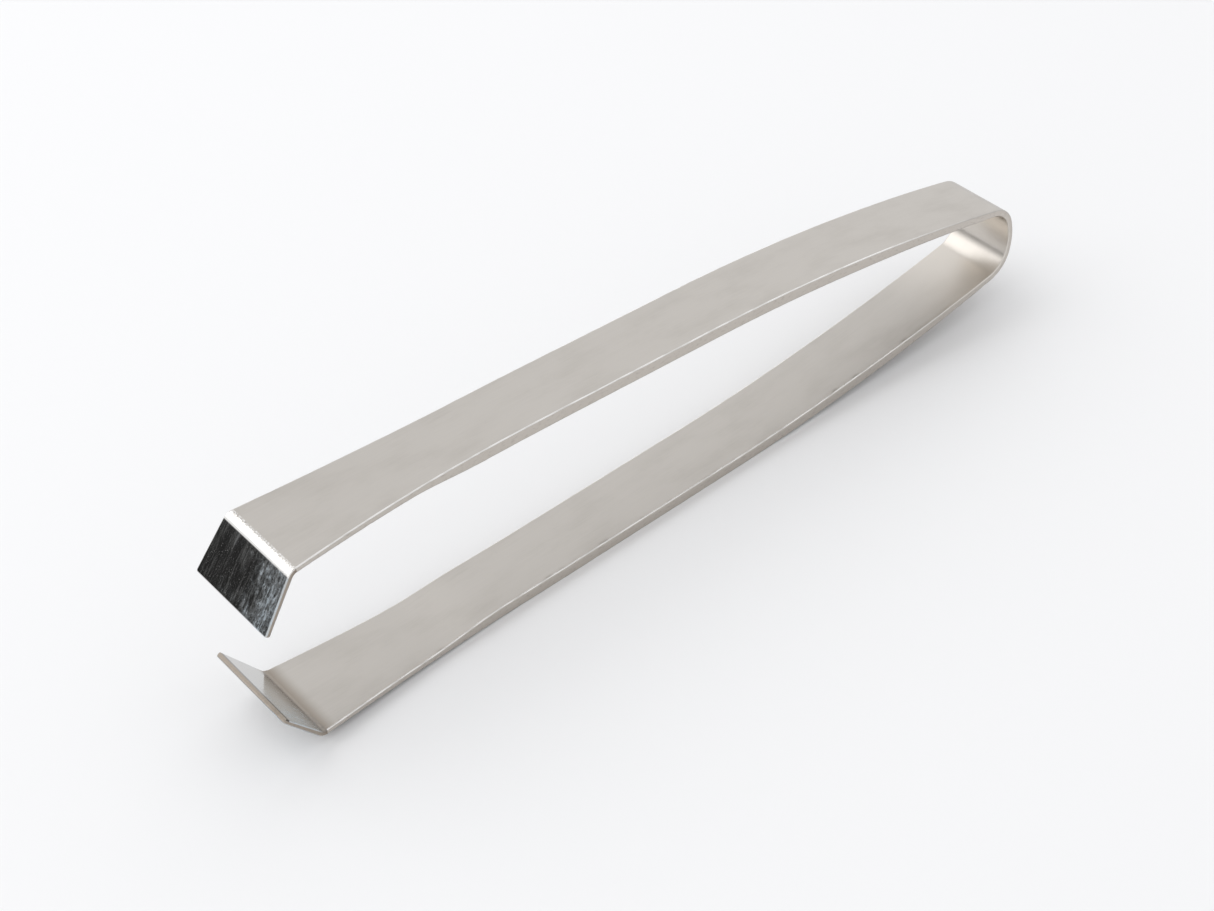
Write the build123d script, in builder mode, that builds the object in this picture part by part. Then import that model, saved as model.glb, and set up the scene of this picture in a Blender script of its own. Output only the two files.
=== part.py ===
"""Spring tongs bent from one strip of stainless steel.

The strip is thin at the back, where it forms a squarish bow that acts as the spring. It is
thick along the two mirror-image arms. At their tips it is ground thin, flares wider and turns
inward as two flat jaws that meet on narrow ground lands.

Millimetres and degrees. The tongs lie on the flat belly of the lower arm. X runs along the
tongs towards the bow, Y across the strip and Z up. The origin is on the table, in the middle
of the outline.

The outer line of one half is a chain of tangent stretches. A station is a distance along that
line, measured from the middle of the bow's back.
"""

import os
from math import asin, atan2, ceil, cos, degrees, hypot, radians, sin

from build123d import *

# Outer line of one half, from the middle of the bow to the gripping edge
back_length = 3.2  # half of the bow's slightly rounded back
back_turn = 15.2
corner_radius = 5.6
corner_turn = 61.9
rear_length = 61.3  # arm from the bow to the belly, where it spreads
belly_length = 28.0  # straight stretch that the tongs lie on
belly_slope = 2.1  # angle at which the belly leans away from the middle plane
front_length = 50.0  # arm from the belly to the jaw bend
front_turn = 3.4
bend_radius = 2.0
bend_turn = 52.1
jaw_length = 9.0

# Thickness along the strip
bow_thickness = 1.0
arm_thickness = 2.0
bow_taper_length = 42.0  # from the thin bow to the full thickness
grind_start = 115.0  # station where the tip starts to thin
grind_length = 14.0
grind_depth = 0.8
edge_thickness = 0.75  # at the gripping edge

# Width across the strip
strip_width = 12.0
edge_width = 18.0  # at the gripping edge
flare_start = 110.0  # station where the tip starts to widen
flare_blend_length = 32.0  # length over which the sides turn outward

# Finishing
edge_round = 0.2  # broken long edges
corner_round = 0.5  # corners of the gripping edge
land_depth = 0.35  # how far the ground land reaches into the jaw's thickness
closed_gap = 0.1  # left between the lands at the end of the travel

# Spring
hinge_station = 17.0  # where the bow's bending is gathered on each side

# Worked-out outline of one half
rear_turn = 90 - back_turn - corner_turn - belly_slope
stretches = [
    (back_length, back_turn),
    (corner_radius * radians(corner_turn), corner_turn),
    (rear_length, rear_turn),
    (belly_length, 0),
    (front_length, front_turn),
    (bend_radius * radians(bend_turn), bend_turn),
    (jaw_length, 0),
]
joints = [sum(length for length, _ in stretches[:i]) for i in range(len(stretches) + 1)]
belly_station, bend_station, end_station = joints[3], joints[5], joints[7]

point_spacing = 2.5  # longest distance between points of the inner line
point_turn = 10.0  # largest turn between points of the inner line
touching = 0.001  # a point nearer than this lies on a face


def direction(heading):
    return Vector(cos(radians(heading)), sin(radians(heading)))


def outer(station):
    """Point of the outer line and its heading. X runs towards the bow, Y away from the middle plane."""
    point, heading = Vector(0, 0), 90.0
    for (length, turn), start in zip(stretches, joints):
        share = min(max((station - start) / length, 0.0), 1.0)
        if turn:
            radius = length / radians(turn)
            centre = point + direction(heading + 90) * radius
            heading += turn * share
            point = centre - direction(heading + 90) * radius
        else:
            point = point + direction(heading) * length * share
    return point, heading


def thickness(station):
    """The strip is thin at the bow, full along the arm and ground thin at the tip."""
    from_bow = hypot(station, back_length) - back_length
    bow_share = max(1 - from_bow / bow_taper_length, 0.0)
    ground = min(max((station - grind_start) / grind_length, 0.0), 1.0)
    to_edge = max((station - grind_start) / (end_station - grind_start), 0.0)
    return (
        arm_thickness
        - (arm_thickness - bow_thickness) * bow_share**1.5
        - grind_depth * ground**2 * (3 - 2 * ground)
        - (arm_thickness - grind_depth - edge_thickness) * to_edge**1.5
    )


def inner(station):
    point, heading = outer(station)
    return point + direction(heading + 90) * thickness(station)


def inner_heading(station):
    step = 0.001
    return (inner(station + step) - inner(station - step)).normalized()


def half_width(station):
    """The strip's sides are parallel, then turn outward and run straight to the gripping edge."""
    beyond = station - flare_start
    if beyond <= 0:
        return strip_width / 2
    blend_end = min(beyond, flare_blend_length)
    curve = blend_end**2 / (2 * flare_blend_length)
    return strip_width / 2 + flare_slope * (curve + beyond - blend_end)


flare_run = end_station - flare_start - flare_blend_length / 2
flare_slope = (edge_width - strip_width) / 2 / flare_run

# Closing travel: each arm turns about the inner line at the hinge station until its land is
# half of the closed gap from the middle plane, which is then parallel to the land.
edge_point, edge_heading = outer(end_station)
edge_direction = direction(edge_heading)
across_jaw = direction(edge_heading + 90)
land_start = edge_point + across_jaw * (thickness(end_station) - land_depth)
hinge_point = inner(hinge_station)
reach = land_start - hinge_point
closing_angle = degrees(
    atan2(reach.Y, -reach.X) + asin((hinge_point.Y - closed_gap / 2) / reach.length)
)

# Place on the table: the belly of the lower arm is flat on it, and the outline is centred
along_tongs = Vector(cos(radians(belly_slope)), 0, -sin(radians(belly_slope)))
up_tongs = Vector(sin(radians(belly_slope)), 0, cos(radians(belly_slope)))


def raised(point, side):
    """A profile point of the upper or lower half, as seen from the middle of the bow."""
    return along_tongs * point.X + up_tongs * (point.Y if side == "upper" else -point.Y)


back_radius = back_length / radians(back_turn)
bow_extent = back_radius * (1 - along_tongs.X)
jaw_extent = raised(edge_point, "lower").X
belly_depth = raised(outer(belly_station)[0], "lower").Z
bow_middle = Vector(-(bow_extent + jaw_extent) / 2, 0, -belly_depth)


def profile_plane(side):
    """X runs towards the bow and Y away from the tongs' middle plane."""
    facing = Vector(0, -1, 0) if side == "upper" else Vector(0, 1, 0)
    return Plane(origin=bow_middle, x_dir=along_tongs, z_dir=facing)


def draw_outer(start, end):
    for (_, turn), low, high in zip(stretches, joints, joints[1:]):
        first, last = max(low, start), min(high, end)
        if first < last and turn:
            middle = (first + last) / 2
            ThreePointArc(outer(first)[0], outer(middle)[0], outer(last)[0])
        elif first < last:
            Line(outer(first)[0], outer(last)[0])


def draw_inner(start, end):
    for (_, turn), low, high in zip(stretches, joints, joints[1:]):
        first, last = max(low, start), min(high, end)
        if first < last and turn:
            spans = max(ceil((last - first) / point_spacing), ceil(turn / point_turn), 2)
            stations = [first + (last - first) * i / spans for i in range(spans + 1)]
            tangents = [inner_heading(first), inner_heading(last)]
            Spline([inner(station) for station in stations], tangents=tangents)
        elif first < last:
            Line(inner(first), inner(last))


def make_plan():
    """The strip's outline with its flared tip, seen square to the middle plane."""
    blend_end = flare_start + flare_blend_length
    places = [flare_start, (flare_start + blend_end) / 2, blend_end, bend_station, end_station]
    flare = [Vector(outer(station)[0].X, half_width(station)) for station in places]
    with BuildSketch(Plane(origin=bow_middle, x_dir=along_tongs, z_dir=up_tongs)) as plan:
        with BuildLine():
            Polyline((0, 0), (0, strip_width / 2), flare[0])
            ThreePointArc(*flare[:3])
            Polyline(*flare[2:], (flare[-1].X, 0))
            mirror(about=Plane.XZ)
        make_face()
    return plan.sketch


def cut_plane(side, station):
    """The plane across the strip at a station, facing the jaws."""
    point, heading = outer(station)
    return Plane(origin=bow_middle + raised(point, side), z_dir=raised(direction(heading), side))


def side_edges(solid, side, start, end):
    """The edges along the strip's sides that lie between two stations."""
    after, before = cut_plane(side, start), cut_plane(side, end)
    edges = solid.edges().filter_by(Axis.Y, reverse=True)
    edges = edges.filter_by(lambda edge: after.to_local_coords(edge @ 0.5).Z > touching)
    return edges.filter_by(lambda edge: before.to_local_coords(edge @ 0.5).Z < -touching)


def make_arm(side):
    with BuildPart() as arm:
        with BuildSketch(profile_plane(side)):
            with BuildLine():
                draw_outer(hinge_station, bend_station)
                draw_inner(hinge_station, bend_station)
                Line(outer(hinge_station)[0], inner(hinge_station))
                Line(outer(bend_station)[0], inner(bend_station))
            make_face()
        extrude(amount=edge_width, both=True)
        extrude(plan, amount=end_station, both=True, mode=Mode.INTERSECT)
        fillet(side_edges(arm, side, hinge_station, bend_station), edge_round)
    return arm


def land_plane(side):
    """The plane of the ground land, facing the jaw."""
    across_land = direction(90 - closing_angle)
    return Plane(origin=bow_middle + raised(land_start, side), z_dir=raised(across_land, side))


def make_jaw(side):
    with BuildPart() as jaw:
        with BuildSketch(profile_plane(side)):
            with BuildLine():
                draw_outer(bend_station, end_station)
                draw_inner(bend_station, end_station)
                Line(outer(bend_station)[0], inner(bend_station))
                Line(outer(end_station)[0], inner(end_station))
            make_face()
        extrude(amount=edge_width, both=True)
        extrude(plan, amount=end_station, both=True, mode=Mode.INTERSECT)
        grip_face = jaw.faces().sort_by(Axis((0, 0, 0), raised(edge_direction, side)))[-1]
        fillet(grip_face.edges().filter_by(Axis.Y, reverse=True), corner_round)
        fillet(side_edges(jaw, side, bend_station, end_station), edge_round)
        split(bisect_by=land_plane(side), keep=Keep.TOP)
    return jaw


def make_bow():
    with BuildPart() as bow:
        with BuildSketch(profile_plane("upper")):
            with BuildLine():
                draw_outer(0, hinge_station)
                draw_inner(0, hinge_station)
                Line(outer(hinge_station)[0], inner(hinge_station))
                mirror(about=Plane.XZ)
            make_face()
        extrude(amount=strip_width / 2, both=True)
        lower_edges = side_edges(bow, "lower", 0, hinge_station)
        upper_edges = side_edges(bow, "upper", 0, hinge_station)
        fillet(lower_edges + upper_edges, edge_round)
    return bow


os.makedirs("parts", exist_ok=True)
plan = make_plan()
pieces = {"spring_bow": make_bow()}
for side in ("lower", "upper"):
    pieces[f"{side}_arm"] = make_arm(side)
    pieces[f"{side}_jaw"] = make_jaw(side)

for name, piece in pieces.items():
    piece.part.label = name
    export_step(piece.part, f"parts/{name}.step")
print(f"Each arm turns {closing_angle:.3f} degrees to close the jaws")
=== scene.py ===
"""Looks for spring tongs: one strip of steel, satin along the arms and polished at the jaws.

The strip repeats the driving dimensions of the CAD model, in millimetres and degrees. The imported
frame says where it lies. Every mesh is made in metres, in the row frame.

A station is a distance along the outer line of one half, measured from the middle of the bow's
back. Depth is measured from the outer face into the steel, and across is measured along Y.
"""

from math import asin, atan2, cos, degrees, hypot, pi, radians, sin, tan

import bmesh
import bpy
import numpy as np
from mathutils import Matrix, Vector


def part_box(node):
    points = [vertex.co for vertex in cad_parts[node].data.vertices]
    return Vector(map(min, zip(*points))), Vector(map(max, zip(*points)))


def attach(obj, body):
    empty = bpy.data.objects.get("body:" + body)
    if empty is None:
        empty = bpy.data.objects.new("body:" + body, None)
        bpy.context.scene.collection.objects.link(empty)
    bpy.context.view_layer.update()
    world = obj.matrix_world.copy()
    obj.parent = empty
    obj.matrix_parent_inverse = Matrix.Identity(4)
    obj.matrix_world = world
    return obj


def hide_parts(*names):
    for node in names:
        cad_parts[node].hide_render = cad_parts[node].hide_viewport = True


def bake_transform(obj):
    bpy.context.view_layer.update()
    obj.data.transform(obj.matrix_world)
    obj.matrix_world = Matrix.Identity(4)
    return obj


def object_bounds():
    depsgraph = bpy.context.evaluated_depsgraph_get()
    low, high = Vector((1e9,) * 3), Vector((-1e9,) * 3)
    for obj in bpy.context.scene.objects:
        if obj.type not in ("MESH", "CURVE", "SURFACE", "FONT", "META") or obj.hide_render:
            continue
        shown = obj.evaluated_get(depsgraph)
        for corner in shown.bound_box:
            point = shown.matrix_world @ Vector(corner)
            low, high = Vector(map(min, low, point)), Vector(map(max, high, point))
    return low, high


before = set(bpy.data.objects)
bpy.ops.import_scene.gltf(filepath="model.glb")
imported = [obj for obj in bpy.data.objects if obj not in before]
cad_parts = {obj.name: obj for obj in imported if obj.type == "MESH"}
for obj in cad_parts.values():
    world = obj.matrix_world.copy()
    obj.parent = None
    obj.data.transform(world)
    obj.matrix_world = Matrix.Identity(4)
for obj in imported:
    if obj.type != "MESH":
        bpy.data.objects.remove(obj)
cad_low, cad_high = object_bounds()

MM = 0.001

# Outer line of one half, from the middle of the bow to the gripping edge
BACK_LENGTH = 3.2
BACK_TURN = 15.2
CORNER_RADIUS = 5.6
CORNER_TURN = 61.9
REAR_LENGTH = 61.3
BELLY_LENGTH = 28.0
BELLY_SLOPE = 2.1
FRONT_LENGTH = 50.0
FRONT_TURN = 3.4
BEND_RADIUS = 2.0
BEND_TURN = 52.1
JAW_LENGTH = 9.0

# Thickness and width along the strip
BOW_THICKNESS = 1.0
ARM_THICKNESS = 2.0
BOW_TAPER_LENGTH = 42.0
GRIND_START = 115.0
GRIND_LENGTH = 14.0
GRIND_DEPTH = 0.8
EDGE_THICKNESS = 0.75
STRIP_WIDTH = 12.0
EDGE_WIDTH = 18.0
FLARE_START = 110.0
FLARE_BLEND_LENGTH = 32.0

# Finishing
EDGE_ROUND = 0.2  # broken long edges
QUARTER_ROUND = EDGE_ROUND * pi / 2  # distance round one broken edge
CORNER_ROUND = 0.5  # corners of the gripping edge
LAND_DEPTH = 0.35  # how far the ground land reaches into the jaw's thickness
CLOSED_GAP = 0.1  # left between the lands when the jaws are closed
HINGE_STATION = 17.0  # where the bow's bending is gathered on each side

# Fineness of the meshes
BOW_ROW = 0.15  # distance between cross-sections
ARM_ROW = 0.35
BEND_ROW = 0.05
JAW_ROW = 0.2
FACE_COLUMNS = 23
HOLD = 0.04  # narrow column beside each rounded edge, which keeps its highlight crisp
CORNER_SEGMENTS = 4
SIDE_SEGMENTS = 6
CORNER_ROWS = 6
LAND_ROW = 0.01
WELD = 1e-7  # metres: joins the points that the ground land brings together
SHARP_ANGLE = radians(32)

# Unevenness of the long edges, which were sheared and then dressed by hand
EDGE_INSET = 0.02  # keeps the widest place inside the CAD model's box
WOBBLE_DEPTH = 0.03
WOBBLE_WAVES = (23.0, 9.0, 3.7, 1.6)
WOBBLE_FULL = 0.3  # distance round the edge, from the face, at which the wobble is full
WOBBLE_FADE = 1.8  # distance over which it fades out across the face
NICK_COUNT = 60
NICK_DEEPEST = 0.02
NICK_LENGTHS = (0.35, 1.1)
NICK_MARGINS = (8, 2)  # kept clear of nicks, at the bow's back and at the bend
NICK_DEPTH = EDGE_ROUND * 1.01  # points no deeper than this are on the edge that is dented
NICK_REACH = 0.05  # distance from the rounded edge at which a nick has faded out
LAND_TOLERANCE = 0.002  # a point this close to the land's plane counts as ground
SEEDS = {"upper": 10, "lower": 20}
NICK_SEEDS = {"upper": 40, "lower": 60}

# Studio
FLOOR_SIZE = 6.0
FLOOR_COLOUR = (0.86, 0.86, 0.865, 1)
FLOOR_ROUGHNESS = 0.9
FLOOR_SPECULAR = 0.2
AMBIENT_COLOUR = (0.985, 0.99, 1, 1)
AMBIENT_STRENGTH = 0.9
DARK_STRENGTH = 0.03
DARK_SIDE = Vector((-0.79, 0.60, -0.07)).normalized()
DARK_CORE = radians(13)  # angle from the dark side within which it is all dark
DARK_EDGE = radians(19)  # angle from the dark side beyond which it is all pale
SOFTBOXES = {
    # name: direction from the object, distance, size and power
    "back_left_softbox": (Vector((-0.4, 0.45, 0.8)), 1.2, 1.3, 4.7),
    "back_right_softbox": (Vector((0.78, 0.6, 0.42)), 1.3, 1.3, 1.5),
}

# Camera
CAMERA_AZIMUTH = radians(-35.57)
CAMERA_ELEVATION = radians(42.10)
CAMERA_ROLL = radians(-5.93)
CAMERA_DISTANCE = 0.3375
CAMERA_AIM = Vector((-0.01205, -0.0045, 0))  # from the middle of the object
CAMERA_LENS = 66.43
CAMERA_SENSOR = 36
CAMERA_NEAREST = 0.01

REAR_TURN = 90 - BACK_TURN - CORNER_TURN - BELLY_SLOPE
STRETCHES = [
    (BACK_LENGTH, BACK_TURN),
    (CORNER_RADIUS * radians(CORNER_TURN), CORNER_TURN),
    (REAR_LENGTH, REAR_TURN),
    (BELLY_LENGTH, 0),
    (FRONT_LENGTH, FRONT_TURN),
    (BEND_RADIUS * radians(BEND_TURN), BEND_TURN),
    (JAW_LENGTH, 0),
]
STARTS = [sum(length for length, _ in STRETCHES[:i]) for i in range(len(STRETCHES) + 1)]
BELLY_STATION, BEND_STATION, JAW_STATION, END_STATION = STARTS[3], *STARTS[5:8]


# ---------------------------------------------------------------- The strip's shape


def direction(heading):
    """Unit vector of a heading in degrees, in the plane of the outer line."""
    return Vector((cos(radians(heading)), sin(radians(heading))))


def outer(station):
    """Point of the outer line and its heading. X runs towards the bow, Y away from the middle plane."""
    point, heading = Vector((0, 0)), 90.0
    for (length, turn), start in zip(STRETCHES, STARTS):
        share = min(max((station - start) / length, 0.0), 1.0)
        if turn:
            radius = length / radians(turn)
            centre = point + direction(heading + 90) * radius
            heading += turn * share
            point = centre - direction(heading + 90) * radius
        else:
            point = point + direction(heading) * length * share
    return point, heading


def thickness(station):
    """Thin in the bow, full along the arm, then ground down and tapered towards the edge."""
    from_bow = hypot(station, BACK_LENGTH) - BACK_LENGTH
    bow_share = max(1 - from_bow / BOW_TAPER_LENGTH, 0.0)
    ground = min(max((station - GRIND_START) / GRIND_LENGTH, 0.0), 1.0)
    to_edge = max((station - GRIND_START) / (END_STATION - GRIND_START), 0.0)
    return (
        ARM_THICKNESS
        - (ARM_THICKNESS - BOW_THICKNESS) * bow_share**1.5
        - GRIND_DEPTH * ground**2 * (3 - 2 * ground)
        - (ARM_THICKNESS - GRIND_DEPTH - EDGE_THICKNESS) * to_edge**1.5
    )


# The flare starts as a curve, FLARE_BLEND_LENGTH long, which gains half the width of a straight one
FLARE_RUN = END_STATION - FLARE_START - FLARE_BLEND_LENGTH / 2
FLARE_SLOPE = (EDGE_WIDTH - STRIP_WIDTH) / 2 / FLARE_RUN


def half_width(station):
    """Parallel sides, then a flare, then the rounded corners of the gripping edge."""
    beyond = max(station - FLARE_START, 0.0)
    blend_end = min(beyond, FLARE_BLEND_LENGTH)
    curve = blend_end**2 / (2 * FLARE_BLEND_LENGTH)
    into_corner = max(station - (END_STATION - CORNER_ROUND), 0.0)
    corner = CORNER_ROUND - (CORNER_ROUND**2 - into_corner**2) ** 0.5
    return STRIP_WIDTH / 2 + FLARE_SLOPE * (curve + beyond - blend_end) - corner


# Closing turns each arm about the strip's inner face at the hinge, until the lands nearly meet
edge_point, edge_heading = outer(END_STATION)
hinge_outer, hinge_heading = outer(HINGE_STATION)
hinge_point = hinge_outer + direction(hinge_heading + 90) * thickness(HINGE_STATION)
LAND_EDGE_DEPTH = thickness(END_STATION) - LAND_DEPTH
reach = edge_point + direction(edge_heading + 90) * LAND_EDGE_DEPTH - hinge_point
CLOSING_ANGLE = degrees(
    atan2(reach.y, -reach.x) + asin((hinge_point.y - CLOSED_GAP / 2) / reach.length)
)
# The land leans away from the jaw's inner face, so it reaches deeper further from the edge
LAND_LEAN = radians(edge_heading - 180 + CLOSING_ANGLE)
LAND_START = END_STATION - LAND_DEPTH / tan(LAND_LEAN)


def land_depth(station):
    """Depth at which the ground land cuts the jaw off."""
    return LAND_EDGE_DEPTH + (END_STATION - station) * tan(LAND_LEAN)


# Place in the row frame: the belly of the lower arm is flat on the table
ALONG = Vector((cos(radians(BELLY_SLOPE)), 0, -sin(radians(BELLY_SLOPE))))
UP = Vector((sin(radians(BELLY_SLOPE)), 0, cos(radians(BELLY_SLOPE))))
BACK_RADIUS = BACK_LENGTH / radians(BACK_TURN)
bow_extent = BACK_RADIUS * (1 - ALONG.x) * MM
belly_point = outer(BELLY_STATION)[0] * MM
BOW_MIDDLE = Vector((
    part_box("spring_bow")[1].x - bow_extent,
    0,
    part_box("lower_arm")[0].z - (ALONG.z * belly_point.x - UP.z * belly_point.y),
))


def raised(profile, side):
    """The row-frame place, in metres, of a profile point of the upper or lower half."""
    height = profile.y if side == "upper" else -profile.y
    return BOW_MIDDLE + (ALONG * profile.x + UP * height) * MM


# ---------------------------------------------------------------- Meshes


def face_columns(flat):
    """Places across a flat face, with a narrow column beside each rounded edge."""
    middle = np.linspace(-(flat - HOLD), flat - HOLD, FACE_COLUMNS)
    return np.concatenate([[-flat], middle, [flat]])


def cross_section(width, thick):
    """Across, depth and distance from the rounded edge for each point round one section.

    The distance is positive on the flat faces, and negative round the edge and on the flanks.
    """
    flat = width - EDGE_ROUND
    columns = face_columns(flat)
    turns = np.linspace(0, pi / 2, CORNER_SEGMENTS + 1)
    side = np.linspace(EDGE_ROUND, thick - EDGE_ROUND, SIDE_SEGMENTS + 1)
    past_side = np.minimum(side - EDGE_ROUND, thick - EDGE_ROUND - side)
    outer_face = [columns, 0 * columns, flat - abs(columns)]
    outer_corner = [
        flat + EDGE_ROUND * np.sin(turns),
        EDGE_ROUND * (1 - np.cos(turns)),
        -EDGE_ROUND * turns,
    ]
    flank = [0 * side + width, side, -QUARTER_ROUND - past_side]
    inner_corner = [
        flat + EDGE_ROUND * np.cos(turns),
        thick - EDGE_ROUND * (1 - np.sin(turns)),
        EDGE_ROUND * turns - QUARTER_ROUND,
    ]
    # Neighbouring stretches share their end points, each of which is kept once
    right = [
        np.array(outer_corner)[:, 1:],
        np.array(flank)[:, 1:],
        np.array(inner_corner)[:, 1:-1],
    ]
    right = np.concatenate(right, axis=1)
    inner_face = [columns[::-1], 0 * columns + thick, (flat - abs(columns))[::-1]]
    left = right[:, ::-1] * np.array([[-1], [1], [1]])
    return np.concatenate([outer_face, right, inner_face, left], axis=1).T


def cap_chains(ring_size):
    """Two chains of points that meet at the middle of each flank, for closing a section with quads."""
    columns = FACE_COLUMNS + 2
    flank = (ring_size - 2 * columns) // 2
    right_middle = columns + flank // 2
    left_middle = 2 * columns + flank + flank // 2
    top = [i % ring_size for i in range(left_middle, ring_size + right_middle + 1)]
    bottom = list(range(left_middle, right_middle - 1, -1))
    return top, bottom


def wobble(station, seed):
    """A slow unevenness from 0 to 1 along an edge that was sheared and dressed by hand."""
    waves = np.random.default_rng(seed)
    total = 0.0
    for wavelength in WOBBLE_WAVES:
        total += sin(2 * pi * (station / wavelength + waves.random()))
    return 0.5 + total / (2 * len(WOBBLE_WAVES))


def nicks(seed):
    """Small dents along one edge: station, length and depth of each. Shallow ones are commonest."""
    chance = np.random.default_rng(seed)
    from_bow, from_bend = NICK_MARGINS
    stations = chance.uniform(from_bow, BEND_STATION - from_bend, NICK_COUNT)
    lengths = chance.uniform(*NICK_LENGTHS, NICK_COUNT)
    depths = NICK_DEEPEST * chance.random(NICK_COUNT) ** 2
    return list(zip(stations, lengths, depths))


# Each half has four long edges: two hands across, two faces
EDGE_NICKS = {
    side: [nicks(first_seed + edge) for edge in range(4)] for side, first_seed in NICK_SEEDS.items()
}


def nick_depth(station, dents):
    """The depth of the deepest dent at a station, each dent fading smoothly to its ends."""
    total = 0.0
    for middle, length, deep in dents:
        share = abs(station - middle) / length
        if share < 1:
            total = max(total, deep * (1 - share) ** 2 * (1 + 2 * share))
    return total


def roughen(points, station, side):
    """Moves one section's points inward where the real edge is uneven or dented."""
    across, depth, edge = points.T
    thick = depth.max()
    for hand, sign in enumerate((-1, 1)):
        here = across * sign > 0
        nearness = np.clip(1 - (edge + WOBBLE_FULL) / WOBBLE_FADE, 0, 1) * here
        inset = EDGE_INSET + WOBBLE_DEPTH * wobble(station, SEEDS[side] + hand)
        across -= sign * inset * nearness
        for face, inward in enumerate((1, -1)):
            dents = EDGE_NICKS[side][2 * hand + face]
            level = depth if inward > 0 else thick - depth
            on_corner = here * (level < NICK_DEPTH) * np.clip(1 - edge / NICK_REACH, 0, 1)
            bite = nick_depth(station, dents) * on_corner
            across -= sign * bite
            depth += inward * bite
    return points


def section_rows(station, side):
    """Row-frame points of one section, and the strip coordinates that its materials use."""
    thick = thickness(station)
    points = cross_section(half_width(station), thick)
    points = roughen(points, station, side)
    past_round = max(station - (END_STATION - EDGE_ROUND), 0.0)
    rounding = EDGE_ROUND - (EDGE_ROUND**2 - past_round**2) ** 0.5
    deepest = min(thick - rounding, land_depth(station))
    on_land = (points[:, 1] > land_depth(station) - LAND_TOLERANCE) | (station == END_STATION)
    points[:, 1] = np.clip(points[:, 1], rounding, deepest)
    origin, heading = outer(station)
    into = direction(heading + 90)
    placed = [
        raised(origin + into * depth, side) + Vector((0, across * MM, 0))
        for across, depth, _ in points
    ]
    strip = [(station, across, depth) for across, depth, _ in points]
    return placed, strip, points[:, 2], on_land


def stations_between(start, end, spacing):
    """Evenly spread stations from start to end, as near to the spacing as they can be."""
    count = max(round((end - start) / spacing), 1)
    return [start + (end - start) * i / count for i in range(count + 1)]


def link_object(name, data):
    """A new object in the scene with the given mesh, light or camera."""
    added = bpy.data.objects.new(name, data)
    bpy.context.scene.collection.objects.link(added)
    return added


def store(mesh, name, kind, field, values):
    """Keeps one value or vector per point of a mesh, for the materials to read."""
    attribute = mesh.attributes.new(name, kind, "POINT")
    attribute.data.foreach_set(field, np.array(values, np.float32).ravel())


def strip_faces(ring_count, ring_size):
    """Quads round the strip between neighbouring sections, and quads that close both ends."""
    faces = []
    for row in range(ring_count - 1):
        low, high = row * ring_size, (row + 1) * ring_size
        for i in range(ring_size):
            j = (i + 1) % ring_size
            faces.append((low + i, low + j, high + j, high + i))
    top, bottom = cap_chains(ring_size)
    for first in (0, (ring_count - 1) * ring_size):
        for i in range(len(top) - 1):
            corners = [top[i], top[i + 1], bottom[i + 1], bottom[i]]
            # The two chains share their end points, so the outermost faces are triangles
            faces.append([first + corner for corner in dict.fromkeys(corners)])
    return faces


def make_strip(name, side, stations):
    """A closed mesh of the strip through a list of stations."""
    places, strips, edges, lands = [], [], [], []
    for station in stations:
        placed, strip, edge, on_land = section_rows(station, side)
        places += placed
        strips += strip
        edges += list(edge)
        lands += list(on_land)
    mesh = bpy.data.meshes.new(name)
    mesh.from_pydata(places, [], strip_faces(len(stations), len(places) // len(stations)))
    store(mesh, "strip_place", "FLOAT_VECTOR", "vector", strips)
    store(mesh, "edge_distance", "FLOAT", "value", edges)
    store(mesh, "ground_land", "FLOAT", "value", lands)
    shell = bmesh.new()
    shell.from_mesh(mesh)
    bmesh.ops.remove_doubles(shell, verts=shell.verts, dist=WELD)
    bmesh.ops.recalc_face_normals(shell, faces=shell.faces)
    shell.to_mesh(mesh)
    shell.free()
    mesh.shade_smooth()
    mesh.set_sharp_from_angle(angle=SHARP_ANGLE)
    return link_object(name, mesh)


# ---------------------------------------------------------------- Materials


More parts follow.
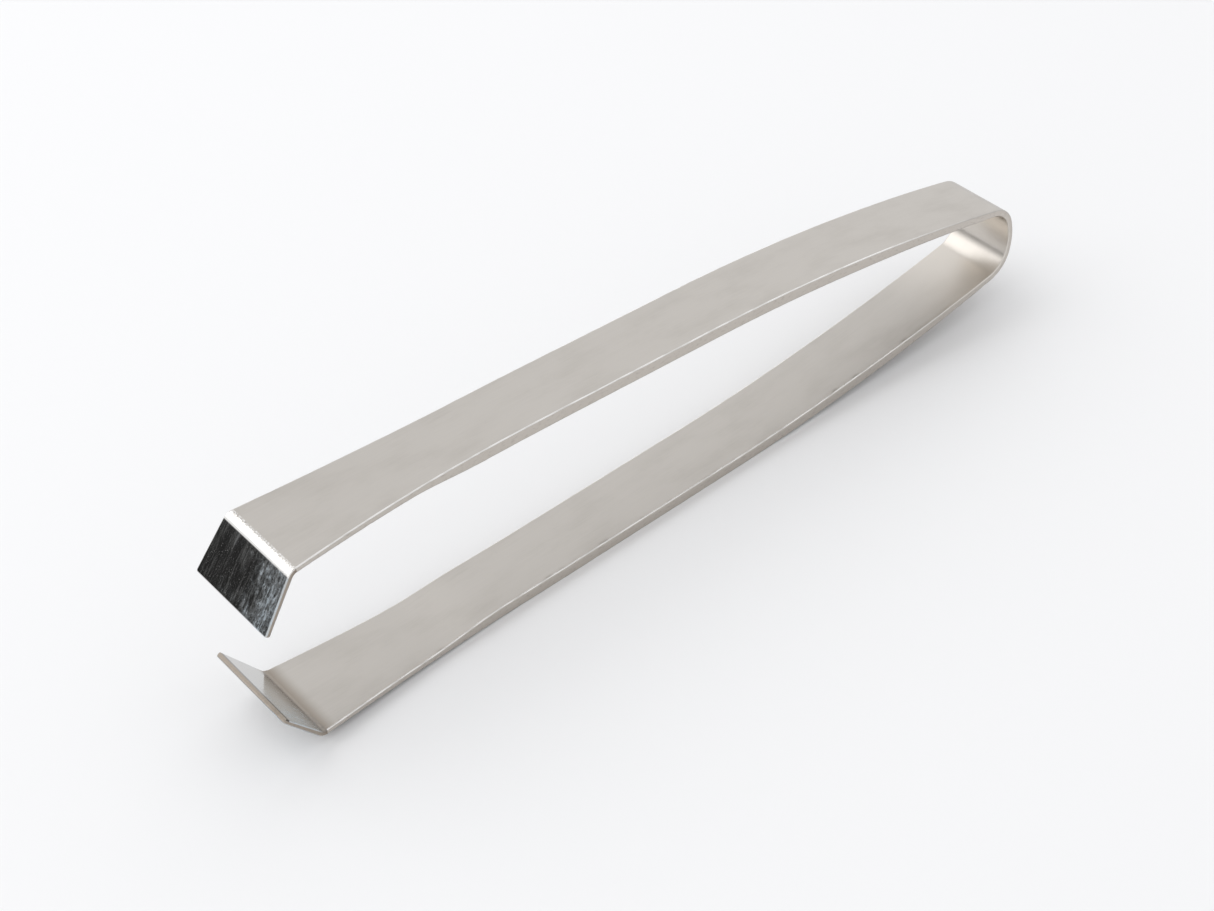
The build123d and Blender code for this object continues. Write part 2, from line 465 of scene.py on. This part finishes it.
class Shader:
    """A material's node tree, built from short named steps."""

    def __init__(self, name):
        self.material = bpy.data.materials.new(name)
        self.material.use_nodes = True
        self.tree = self.material.node_tree
        self.surface = self.tree.nodes["Principled BSDF"]

    def plug(self, value, socket):
        """Links an output to a socket, or sets the socket to a plain value."""
        if isinstance(value, bpy.types.NodeSocket):
            self.tree.links.new(value, socket)
        else:
            socket.default_value = value

    def attribute(self, name):
        """The node of a per-point value that the mesh carries."""
        node = self.tree.nodes.new("ShaderNodeAttribute")
        node.attribute_name = name
        return node

    def scaled(self, vector, scale):
        """The vector with each part times its scale: a scale of 0 makes a pattern even that way."""
        node = self.tree.nodes.new("ShaderNodeMapping")
        node.inputs["Scale"].default_value = scale
        self.plug(vector, node.inputs["Vector"])
        return node.outputs["Vector"]

    def noise(self, vector, pattern, detail=2.0, roughness=0.5):
        """Noise of the given pattern, which is how often it changes per millimetre each way."""
        vector = self.scaled(vector, pattern)
        node = self.tree.nodes.new("ShaderNodeTexNoise")
        node.inputs["Scale"].default_value = 1.0
        node.inputs["Detail"].default_value = detail
        node.inputs["Roughness"].default_value = roughness
        self.plug(vector, node.inputs["Vector"])
        return node.outputs["Fac"]

    def parts(self, vector):
        """The X, Y and Z outputs of a vector."""
        node = self.tree.nodes.new("ShaderNodeSeparateXYZ")
        self.plug(vector, node.inputs["Vector"])
        return node.outputs

    def math(self, operation, first, second=0.0):
        """The result of one sum on two values."""
        node = self.tree.nodes.new("ShaderNodeMath")
        node.operation = operation
        self.plug(first, node.inputs[0])
        self.plug(second, node.inputs[1])
        return node.outputs[0]

    def times(self, first, *others):
        """The product of two or more values."""
        for other in others:
            first = self.math("MULTIPLY", first, other)
        return first

    def add(self, total, value, share):
        """The total plus a share of a value."""
        return self.math("ADD", total, self.times(value, share))

    def ramp(self, value, low, high, to_low=0.0, to_high=1.0):
        """A smooth step from to_low, where the value is low, to to_high, where it is high."""
        node = self.tree.nodes.new("ShaderNodeMapRange")
        node.interpolation_type = "SMOOTHSTEP"
        for socket, number in zip(node.inputs[1:5], (low, high, to_low, to_high)):
            socket.default_value = number
        self.plug(value, node.inputs["Value"])
        return node.outputs["Result"]

    def mix(self, share, first, second):
        """The first colour where the share is 0 and the second where it is 1."""
        node = self.tree.nodes.new("ShaderNodeMix")
        node.data_type = "RGBA"
        self.plug(share, node.inputs["Factor"])
        self.plug(first, node.inputs[6])
        self.plug(second, node.inputs[7])
        return node.outputs[2]

    def bump(self, height, distance, under=None):
        """A relief of the given height in metres, on top of another one if there is one."""
        node = self.tree.nodes.new("ShaderNodeBump")
        node.inputs["Distance"].default_value = distance
        self.plug(height, node.inputs["Height"])
        if under:
            self.plug(under, node.inputs["Normal"])
        return node.outputs["Normal"]

    def finish(self, colour, roughness, normal):
        """Wires up the surface as metal and gives the material."""
        self.surface.inputs["Metallic"].default_value = 1.0
        self.plug(colour, self.surface.inputs["Base Color"])
        self.plug(roughness, self.surface.inputs["Roughness"])
        self.plug(normal, self.surface.inputs["Normal"])
        return self.material


# Colours
STEEL = (0.485, 0.459, 0.428, 1)
SMUDGED_STEEL = (0.452, 0.426, 0.395, 1)
BRUSHED_STEEL = (0.525, 0.5, 0.469, 1)
SHEARED_STEEL = (0.57, 0.53, 0.485, 1)
PITTED_STEEL = (0.36, 0.325, 0.29, 1)
# Bright steel for worn edges and scuffs, also used as the painted highlights on the broken edges and on
# the jaw's bend
WORN_AND_HIGHLIGHT_STEEL = (0.88, 0.87, 0.85, 1)
INNER_BOW_STEEL = (0.66, 0.62, 0.57, 1)
MIRROR_STEEL = (0.55, 0.545, 0.53, 1)
HAZY_STEEL = (0.55, 0.65, 0.73, 1)
GROUND_STEEL = (0.40, 0.35, 0.30, 1)
# Darker tone for the inner face around the jaw's bend
DARK_INNER_BEND_STEEL = (0.26, 0.22, 0.18, 1)
# Painted shade: a dark line on the inner face just before the ground land
PAINTED_SHADE_STEEL = (0.12, 0.11, 0.1, 1)

# Patterns: changes per millimetre along, across and into the strip
BRUSHING = (0.1, 7, 0)
STROKES = (0.06, 2.2, 0)
SMUDGES = (0.09, 0.22, 0)
GRIT = (3, 6, 6)
PITS = (1.2, 3, 3)
WEAR_PATCHES = (0.35, 2, 2)
SCUFFS = (4.5, 4.5, 4.5)
HAZE = (0.3, 0.36, 0)
STREAKS = (0.2, 2.2, 0)
SPECKS = (6, 6, 6)
GRAIN = (4, 5, 5)
SMEARS = (1.1, 2.4, 0)

# Where each mask starts and ends, in millimetres: distances from the rounded edge
FLANK_FADE = (-QUARTER_ROUND - 0.02, -QUARTER_ROUND + 0.06)
# Broken edges are worn and also brightened as a painted highlight
EDGE_WEAR_AND_HIGHLIGHT_FADE = (-0.01, 0.05)
ROUNDED_FADE = (-0.26, -0.2)
# Depths and places across
INSIDE_FADE = (0.4, 0.6)
HANDLED_SIDE = (2.5, -6.5)
# Stations
WEAR_STARTS = (10, 42)
GLOSS_ENDS = (8, 27)
SATIN_SCUFF_STARTS = (BEND_STATION - 0.25, BEND_STATION + 0.2)
SATIN_DARKER_BEND_STARTS = (BEND_STATION - 2.2, BEND_STATION + 0.6)
# Painted highlight over the outer face of the jaw's bend
BEND_HIGHLIGHT_ENDS = (JAW_STATION - 0.2, JAW_STATION + 0.15)
SCUFF_ENDS = (BEND_STATION + 0.3, BEND_STATION + 1.0)
DARKER_BEND_ENDS = (JAW_STATION - 0.9, JAW_STATION + 1.6)
# Painted shade line on the inner face, up to the ground land
PAINTED_SHADE_STARTS = (LAND_START - 0.7, LAND_START - 0.5)

# Roughness, and what each mask adds to it
SATIN_ROUGHNESS = (0.37, 0.42)
SMUDGE_ROUGHNESS = (-0.015, 0.02)
SHEARED_ROUGHNESS = 0.06
WORN_ROUGHNESS = -0.14
INNER_BOW_ROUGHNESS = -0.08  # at -0.2, denoised renders showed a false pattern near the bow
MIRROR_ROUGHNESS = (0.06, 0.16)
MARK_ROUGHNESS = 0.3  # of haze, specks and the darker inner bend
GROUND_ROUGHNESS = 0.4
SCUFF_ROUGHNESS = 0.2

# Heights of reliefs, in metres
STROKE_RELIEF = 2e-6
STREAK_RELIEF = 1.5e-6
GRAIN_RELIEF = 4e-5


def satin_steel():
    """Fine lengthwise brushing, faint smudges, grainy sheared flanks, and broken edges that are worn
    and carry a painted highlight.
    """
    shader = Shader("satin_steel")
    place = shader.attribute("strip_place").outputs["Vector"]
    edge = shader.attribute("edge_distance").outputs["Fac"]
    station, _, depth = shader.parts(place)

    brushing = shader.noise(place, BRUSHING, detail=3)
    strokes = shader.noise(place, STROKES, detail=0)
    smudges = shader.noise(place, SMUDGES, detail=4, roughness=0.6)
    grit = shader.noise(place, GRIT, detail=3)
    pits = shader.noise(place, PITS, detail=3)

    inside = shader.ramp(depth, *INSIDE_FADE)
    outside = shader.math("SUBTRACT", 1.0, inside)
    flank = shader.ramp(edge, *FLANK_FADE, 1, 0)
    edge_wear_and_highlight = shader.ramp(edge, *EDGE_WEAR_AND_HIGHLIGHT_FADE, 1, 0)
    rounded = shader.ramp(edge, *ROUNDED_FADE)
    patches = shader.ramp(shader.noise(place, WEAR_PATCHES), 0.3, 0.6, 0.45, 1)
    handled = shader.ramp(station, *WEAR_STARTS, 0.1, 1)
    # Broken edges: real wear and polish, plus a painted highlight in their colour
    worn_edge_and_highlight = shader.times(edge_wear_and_highlight, rounded, patches, handled)
    near_bend = shader.ramp(station, *SATIN_SCUFF_STARTS)
    scuffs = shader.ramp(shader.noise(place, SCUFFS), 0.5, 0.7)
    scuffed = shader.times(near_bend, scuffs, outside)
    # Darker towards the bend on the inner face
    darker_inner_bend = shader.times(shader.ramp(station, *SATIN_DARKER_BEND_STARTS, 0, 0.85), inside)
    gloss = shader.times(shader.ramp(station, *GLOSS_ENDS, 1, 0), inside)
    pitted = shader.times(flank, shader.ramp(pits, 0.5, 0.8, 0, 0.55))

    colour = shader.mix(shader.ramp(smudges, 0.42, 0.72), STEEL, SMUDGED_STEEL)
    colour = shader.mix(shader.ramp(brushing, 0.3, 0.7, 0, 0.4), colour, BRUSHED_STEEL)
    colour = shader.mix(gloss, colour, INNER_BOW_STEEL)
    colour = shader.mix(darker_inner_bend, colour, DARK_INNER_BEND_STEEL)
    colour = shader.mix(flank, colour, SHEARED_STEEL)
    colour = shader.mix(pitted, colour, PITTED_STEEL)
    # Painted highlight on the worn broken edges
    colour = shader.mix(worn_edge_and_highlight, colour, WORN_AND_HIGHLIGHT_STEEL)
    colour = shader.mix(scuffed, colour, WORN_AND_HIGHLIGHT_STEEL)

    roughness = shader.ramp(brushing, 0.25, 0.75, *SATIN_ROUGHNESS)
    smudge_roughness = shader.ramp(smudges, 0.35, 0.75, *SMUDGE_ROUGHNESS)
    roughness = shader.math("ADD", roughness, smudge_roughness)
    roughness = shader.add(roughness, flank, SHEARED_ROUGHNESS)
    roughness = shader.add(roughness, worn_edge_and_highlight, WORN_ROUGHNESS)
    roughness = shader.add(roughness, gloss, INNER_BOW_ROUGHNESS)

    normal = shader.bump(strokes, STROKE_RELIEF)
    normal = shader.bump(shader.times(grit, flank), GRAIN_RELIEF, normal)
    return shader.finish(colour, roughness, normal)


def polished_steel():
    """A mirror finish with hazy patches, fine scratches and specks, a painted highlight on the bend and
    a painted shade line before the land.
    """
    shader = Shader("polished_steel")
    place = shader.attribute("strip_place").outputs["Vector"]
    edge = shader.attribute("edge_distance").outputs["Fac"]
    land = shader.attribute("ground_land").outputs["Fac"]
    station, across, depth = shader.parts(place)

    haze = shader.noise(place, HAZE, detail=8, roughness=0.7)
    streaks = shader.noise(place, STREAKS, detail=5, roughness=0.6)
    specks = shader.noise(place, SPECKS, detail=1)
    grain = shader.noise(place, GRAIN, detail=3)
    smears = shader.noise(place, SMEARS, detail=6, roughness=0.75)

    inside = shader.ramp(depth, *INSIDE_FADE)
    outside = shader.math("SUBTRACT", 1.0, inside)
    flank = shader.ramp(edge, *FLANK_FADE, 1, 0)
    ground = shader.math("MAXIMUM", flank, shader.ramp(land, 0.4, 0.6))
    # Painted highlight: the bend's outer face is made brighter so that its reflection reads white
    bend = shader.times(shader.ramp(station, *BEND_HIGHLIGHT_ENDS, 1, 0), outside)
    bend_top = shader.ramp(station, *SCUFF_ENDS, 1, 0)
    scuffed = shader.times(bend_top, shader.ramp(grain, 0.42, 0.58, 0, 0.8), outside)
    # Darker on the inner face around the bend
    darker_inner_bend = shader.times(shader.ramp(station, *DARKER_BEND_ENDS, 0.85, 0), inside)
    # Painted shade: a dark band on the inner face just before the ground land
    painted_shade_line = shader.times(shader.ramp(station, *PAINTED_SHADE_STARTS), inside)
    handled = shader.ramp(across, *HANDLED_SIDE, 0, 0.28)
    hazy = shader.ramp(shader.math("ADD", haze, handled), 0.5, 1.0)
    hazy = shader.times(hazy, shader.ramp(smears, 0.35, 0.65, 0.25, 1))
    speck = shader.ramp(specks, 0.7, 0.78)
    pitted = shader.times(ground, shader.ramp(grain, 0.5, 0.7, 0, 0.6))

    colour = shader.mix(hazy, MIRROR_STEEL, HAZY_STEEL)
    # Painted highlight on the outer face of the bend
    colour = shader.mix(bend, colour, WORN_AND_HIGHLIGHT_STEEL)
    colour = shader.mix(scuffed, colour, PITTED_STEEL)
    colour = shader.mix(darker_inner_bend, colour, DARK_INNER_BEND_STEEL)
    # Painted shade before the ground land
    colour = shader.mix(painted_shade_line, colour, PAINTED_SHADE_STEEL)
    colour = shader.mix(ground, colour, GROUND_STEEL)
    colour = shader.mix(pitted, colour, PITTED_STEEL)

    roughness = shader.ramp(streaks, 0.35, 0.75, *MIRROR_ROUGHNESS)
    roughness = shader.add(roughness, hazy, MARK_ROUGHNESS)
    roughness = shader.add(roughness, speck, MARK_ROUGHNESS)
    roughness = shader.add(roughness, ground, GROUND_ROUGHNESS)
    roughness = shader.add(roughness, darker_inner_bend, MARK_ROUGHNESS)
    roughness = shader.add(roughness, scuffed, SCUFF_ROUGHNESS)

    normal = shader.bump(streaks, STREAK_RELIEF)
    normal = shader.bump(shader.times(grain, ground), GRAIN_RELIEF, normal)
    return shader.finish(colour, roughness, normal)


# ---------------------------------------------------------------- Pieces


bow_stations = stations_between(0, HINGE_STATION, BOW_ROW)
arm_stations = stations_between(HINGE_STATION, BEND_STATION, ARM_ROW)
# The gripping edge is rounded in plan and in section, so its rows crowd towards the end
corner_turns = [pi / 2 * i / CORNER_ROWS for i in range(1, CORNER_ROWS)]
tip_stations = [END_STATION - CORNER_ROUND * (1 - sin(turn)) for turn in corner_turns]
tip_stations += [END_STATION - EDGE_ROUND * (1 - sin(turn)) for turn in corner_turns]
tip_stations += [LAND_START, LAND_START + LAND_ROW, END_STATION - EDGE_ROUND, END_STATION]
jaw_stations = (
    stations_between(BEND_STATION, JAW_STATION, BEND_ROW)
    + stations_between(JAW_STATION, END_STATION - CORNER_ROUND, JAW_ROW)[1:]
    + sorted(tip_stations)
)

satin, polished = satin_steel(), polished_steel()
for side in ("lower", "upper"):
    arm_body = f"{side}_arm"

    half_bow = make_strip(f"{side}_half_bow", side, bow_stations)
    half_bow.data.materials.append(satin)
    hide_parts("spring_bow")
    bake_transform(half_bow)

    arm = make_strip(f"{side}_arm_strip", side, arm_stations)
    arm.data.materials.append(satin)
    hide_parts(f"{side}_arm")
    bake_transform(arm)

    jaw = make_strip(f"{side}_jaw_tip", side, jaw_stations)
    jaw.data.materials.append(polished)
    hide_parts(f"{side}_jaw")
    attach(jaw, arm_body)


# ---------------------------------------------------------------- Stage, light and camera


centre = (cad_low + cad_high) / 2


def make_floor():
    """A plain pale table top, which the lower arm lies on."""
    half = FLOOR_SIZE / 2
    corners = [(-half, -half, 0), (half, -half, 0), (half, half, 0), (-half, half, 0)]
    mesh = bpy.data.meshes.new("floor")
    mesh.from_pydata(corners, [], [(0, 1, 2, 3)])
    floor = link_object("floor", mesh)
    material = bpy.data.materials.new("pale_paper")
    material.use_nodes = True
    surface = material.node_tree.nodes["Principled BSDF"]
    surface.inputs["Base Color"].default_value = FLOOR_COLOUR
    surface.inputs["Roughness"].default_value = FLOOR_ROUGHNESS
    surface.inputs["Specular IOR Level"].default_value = FLOOR_SPECULAR
    mesh.materials.append(material)


def make_world():
    """Pale light all round, apart from one dark side of the studio low behind the jaws."""
    world = bpy.data.worlds.new("studio")
    bpy.context.scene.world = world
    world.use_nodes = True
    tree = world.node_tree
    background = tree.nodes["Background"]
    background.inputs["Color"].default_value = AMBIENT_COLOUR
    place = tree.nodes.new("ShaderNodeTexCoord")
    facing = tree.nodes.new("ShaderNodeVectorMath")
    facing.operation = "DOT_PRODUCT"
    facing.inputs[1].default_value = DARK_SIDE
    shade = tree.nodes.new("ShaderNodeMapRange")
    shade.interpolation_type = "SMOOTHSTEP"
    shade.inputs["From Min"].default_value = cos(DARK_EDGE)
    shade.inputs["From Max"].default_value = cos(DARK_CORE)
    shade.inputs["To Min"].default_value = AMBIENT_STRENGTH
    shade.inputs["To Max"].default_value = DARK_STRENGTH
    tree.links.new(place.outputs["Generated"], facing.inputs[0])
    tree.links.new(facing.outputs["Value"], shade.inputs["Value"])
    tree.links.new(shade.outputs["Result"], background.inputs["Strength"])


def make_softbox(name, towards, distance, size, power):
    """A square soft light that faces the middle of the object."""
    light = bpy.data.lights.new(name, "AREA")
    light.shape = "SQUARE"
    light.size = size
    light.energy = power
    softbox = link_object(name, light)
    softbox.location = centre + towards.normalized() * distance
    softbox.rotation_euler = towards.to_track_quat("Z", "Y").to_euler()


def make_camera():
    """The camera, which looks at the jaws' end from one side and above."""
    lens = bpy.data.cameras.new("camera")
    lens.sensor_width = CAMERA_SENSOR
    lens.lens = CAMERA_LENS
    lens.clip_start = CAMERA_NEAREST
    seen_from = Vector((
        sin(CAMERA_AZIMUTH) * cos(CAMERA_ELEVATION),
        -cos(CAMERA_AZIMUTH) * cos(CAMERA_ELEVATION),
        sin(CAMERA_ELEVATION),
    ))
    place = Matrix.Translation(centre + CAMERA_AIM + seen_from * CAMERA_DISTANCE)
    turn = seen_from.to_track_quat("Z", "Y").to_matrix().to_4x4()
    camera = link_object("camera", lens)
    camera.matrix_world = place @ turn @ Matrix.Rotation(CAMERA_ROLL, 4, "Z")
    bpy.context.scene.camera = camera


make_floor()
make_world()
for name, settings in SOFTBOXES.items():
    make_softbox(name, *settings)
make_camera()
bpy.context.scene.view_settings.view_transform = "Standard"
